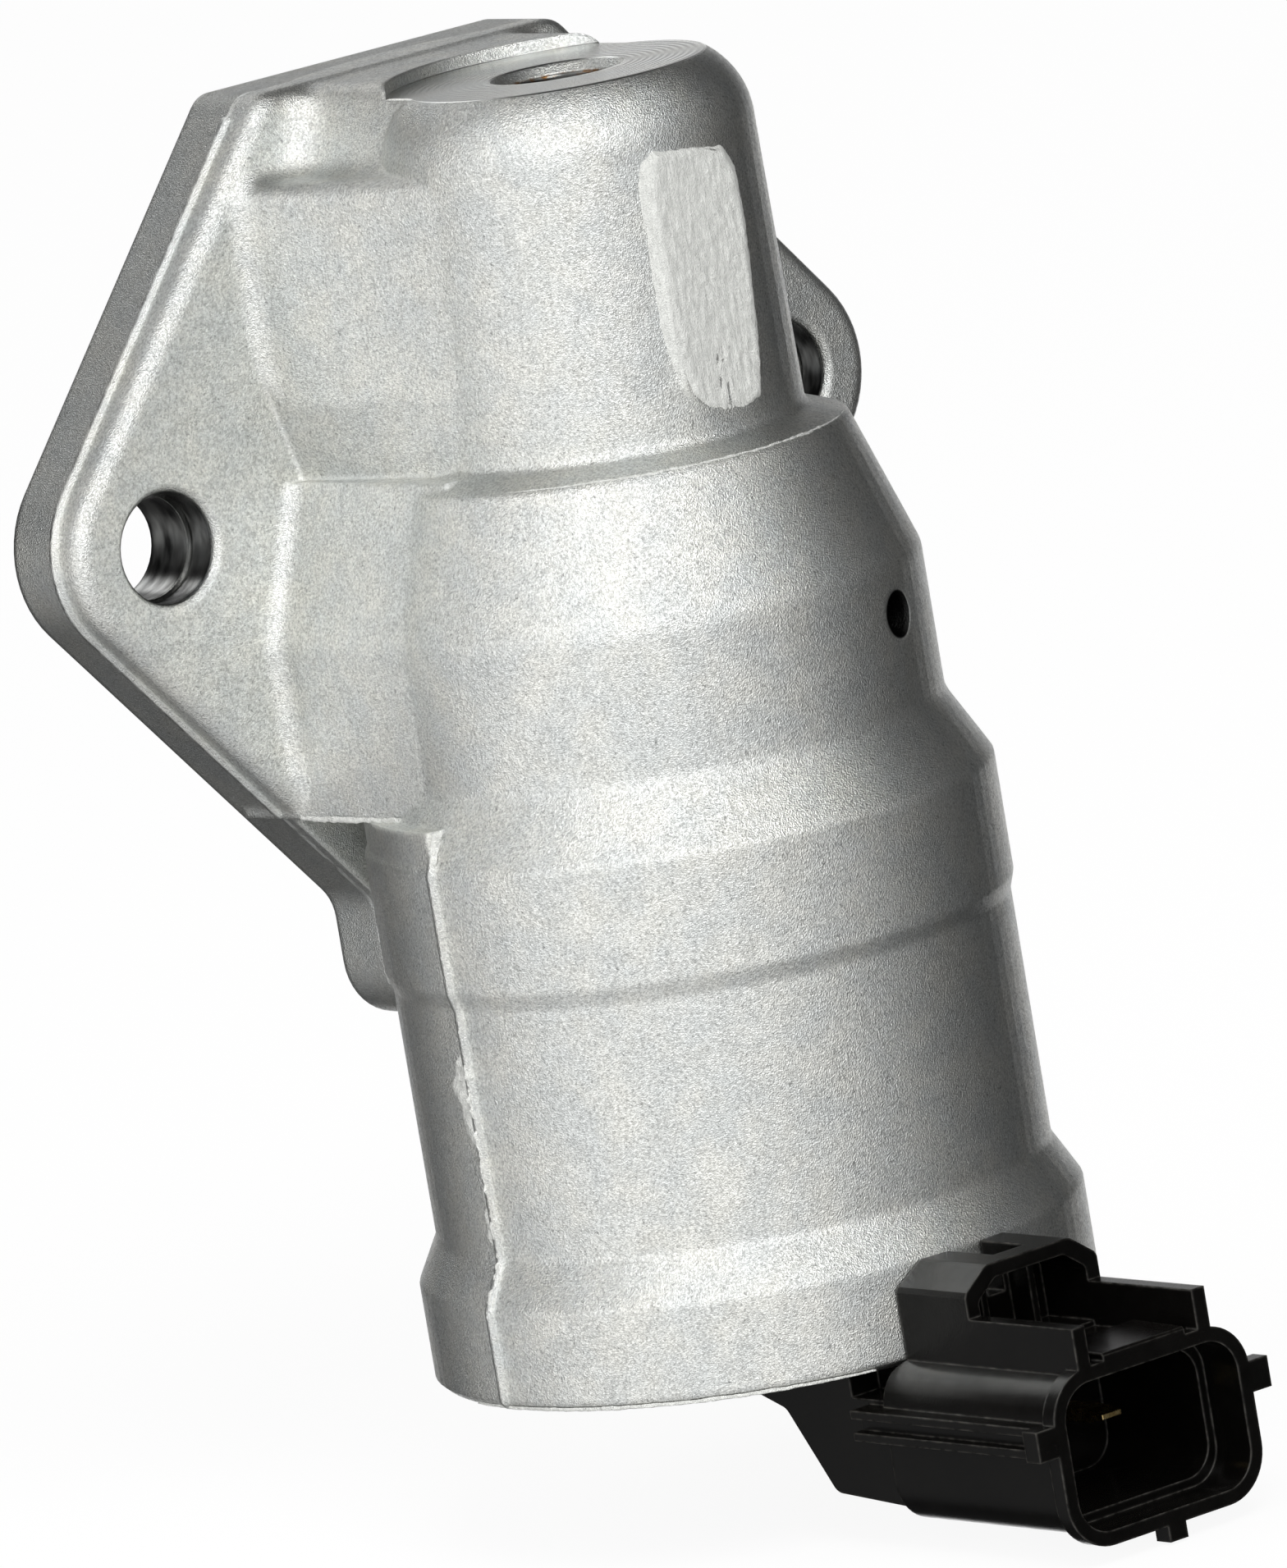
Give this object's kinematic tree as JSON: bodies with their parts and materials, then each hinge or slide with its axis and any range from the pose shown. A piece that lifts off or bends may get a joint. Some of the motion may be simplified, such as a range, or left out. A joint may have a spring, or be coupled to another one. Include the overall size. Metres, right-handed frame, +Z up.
{
  "type": "idle air control valve",
  "caption": "Solenoid air bypass valve for an engine intake: die-cast body with a bolt-on diamond flange, two ports in its face, a sliding poppet valve and a plug socket at the bottom",
  "frame": {"origin": "midway between the two bolt hole centres, in the plane of the mounting face", "axes": "+Y out of the mounting face, +Z up along the valve axis away from the solenoid, +X to the right seen from the plug side"},
  "size_m": [0.0622, 0.057, 0.0902],
  "materials": {
    "cast_body": "shot-blasted die casting, fine grain",
    "locking_paint": "dried brown sealing paint",
    "bright_steel": "turned, bright",
    "spring_steel": "drawn wire and spring strip",
    "soft_iron": "zinc plated",
    "sleeve_brass": "drawn tube, thin",
    "bush_bronze": "sintered, oiled",
    "seat_brass": "turned",
    "pin_brass": "stamped strip, tin flash worn",
    "copper_wire": "enamelled copper wire",
    "head_metal": "turned",
    "guide_metal": "turned",
    "bobbin_plastic": "glass-filled nylon, black",
    "coil_tape": "amber film tape",
    "seal_rubber": "smooth",
    "cap_plastic": "moulded black thermoplastic"
  },
  "bodies": {
    "housing": {"valve_body": "cast_body", "locking_compound": "locking_paint", "adjusting_screw": "seat_brass", "balance_spring": "spring_steel", "valve_seat": "seat_brass", "return_spring": "spring_steel", "shaft_guide": "guide_metal", "upper_bush": "bush_bronze", "pole_plate": "soft_iron", "guide_sleeve": "sleeve_brass", "coil_bobbin": "bobbin_plastic", "coil_winding": "copper_wire", "coil_tape": "coil_tape", "stop_shim": "sleeve_brass", "fixed_core": "soft_iron", "lower_bush": "bush_bronze", "yoke_shell": "soft_iron", "spring_washer": "spring_steel", "cap_seal": "seal_rubber", "terminal_left": "pin_brass", "terminal_right": "pin_brass", "end_cap": "cap_plastic"},
    "valve_group": {"valve_shaft": "bright_steel", "valve_head": "head_metal", "head_clip": "spring_steel", "spring_cup": "seat_brass", "plunger": "soft_iron"}
  },
  "joints": [
    {"name": "valve_slide", "type": "slide", "parent": "housing", "child": "valve_group", "axis": [0, 0, -1], "range_m": [0, 0.0035], "stiffness_N_per_m": 300, "springref_m": -0.006, "deforming": ["return_spring", "balance_spring"]}
  ]
}
